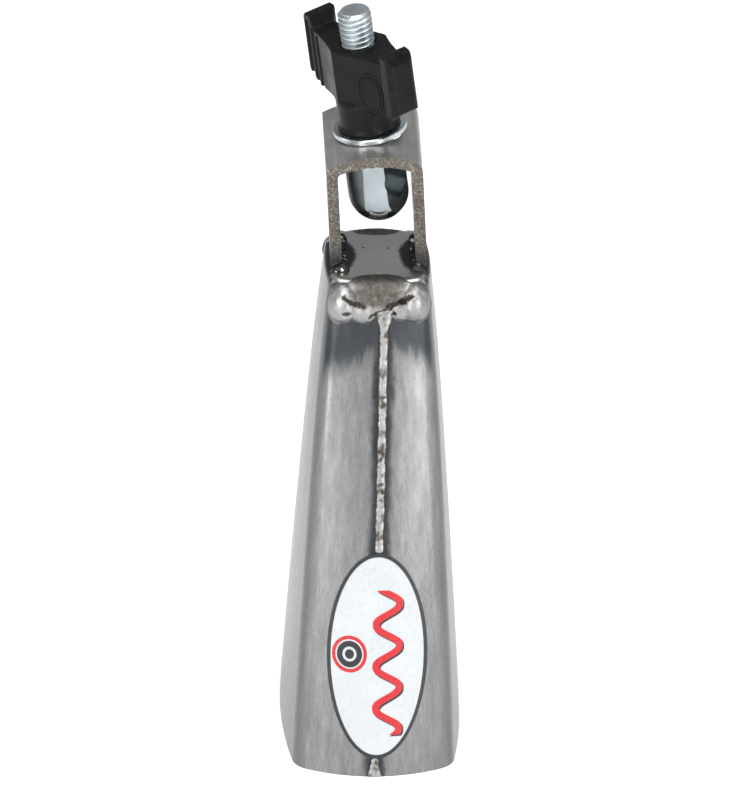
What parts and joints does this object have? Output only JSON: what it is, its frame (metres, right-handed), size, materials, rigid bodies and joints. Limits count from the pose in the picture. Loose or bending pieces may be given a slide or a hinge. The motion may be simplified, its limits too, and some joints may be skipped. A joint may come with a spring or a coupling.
{
  "type": "cowbell",
  "caption": "Folded and welded sheet-steel cowbell with a strap bracket on its crown and an eye-bolt clamp drawn up by a black wing nut.",
  "frame": {"origin": "centre of the open mouth, in the plane of its rim", "axes": "+Z from the mouth to the crown and clamp, -Y through the narrow side with the label, +X through a broad face"},
  "size_m": [0.051, 0.083, 0.2252],
  "materials": {
    "brushed_bell_steel": "brushed along the height, clear coated",
    "weld_steel": "ground weld bead with heat tint",
    "strap_steel": "mill finish with brown oxide on the cut edges",
    "burnt_weld": "dark scaled weld",
    "label_print": "printed film",
    "zinc_plate": "bright zinc",
    "chrome_plate": "polished eye, zinc thread",
    "black_plastic": "satin moulded",
    "insert_brass": "turned"
  },
  "bodies": {
    "bell": {"bell_shell": "brushed_bell_steel", "front_seam_weld": "weld_steel", "rear_seam_weld": "weld_steel", "front_crown_weld": "weld_steel", "rear_crown_weld": "weld_steel", "mount_bracket": "strap_steel", "bracket_weld_left": "burnt_weld", "bracket_weld_right": "burnt_weld", "oval_label": "label_print"},
    "washer": {"flat_washer": "zinc_plate"},
    "eye_bolt": {"eye_bolt": "chrome_plate"},
    "wing_nut": {"wing_nut_grip": "black_plastic", "wing_nut_insert": "insert_brass"}
  },
  "joints": [
    {"name": "clamp_swivel", "type": "hinge", "parent": "bell", "child": "washer", "pos_m": [-0.00269, 0, 0.18682], "axis": [-0.1357, 0, 0.9907], "continuous": true},
    {"name": "wing_nut_turn", "type": "hinge", "parent": "washer", "child": "wing_nut", "pos_m": [-0.00269, 0, 0.18682], "axis": [-0.1357, 0, 0.9907], "range_deg": [-1140, 1440]},
    {"name": "eye_lift", "type": "slide", "parent": "washer", "child": "eye_bolt", "axis": [-0.1357, 0, 0.9907], "range_m": [-0.00634, 0.005]}
  ],
  "couplings": [
    {"joint": "wing_nut_turn", "follows": "eye_lift", "rad_per_m": -3957.9}
  ]
}
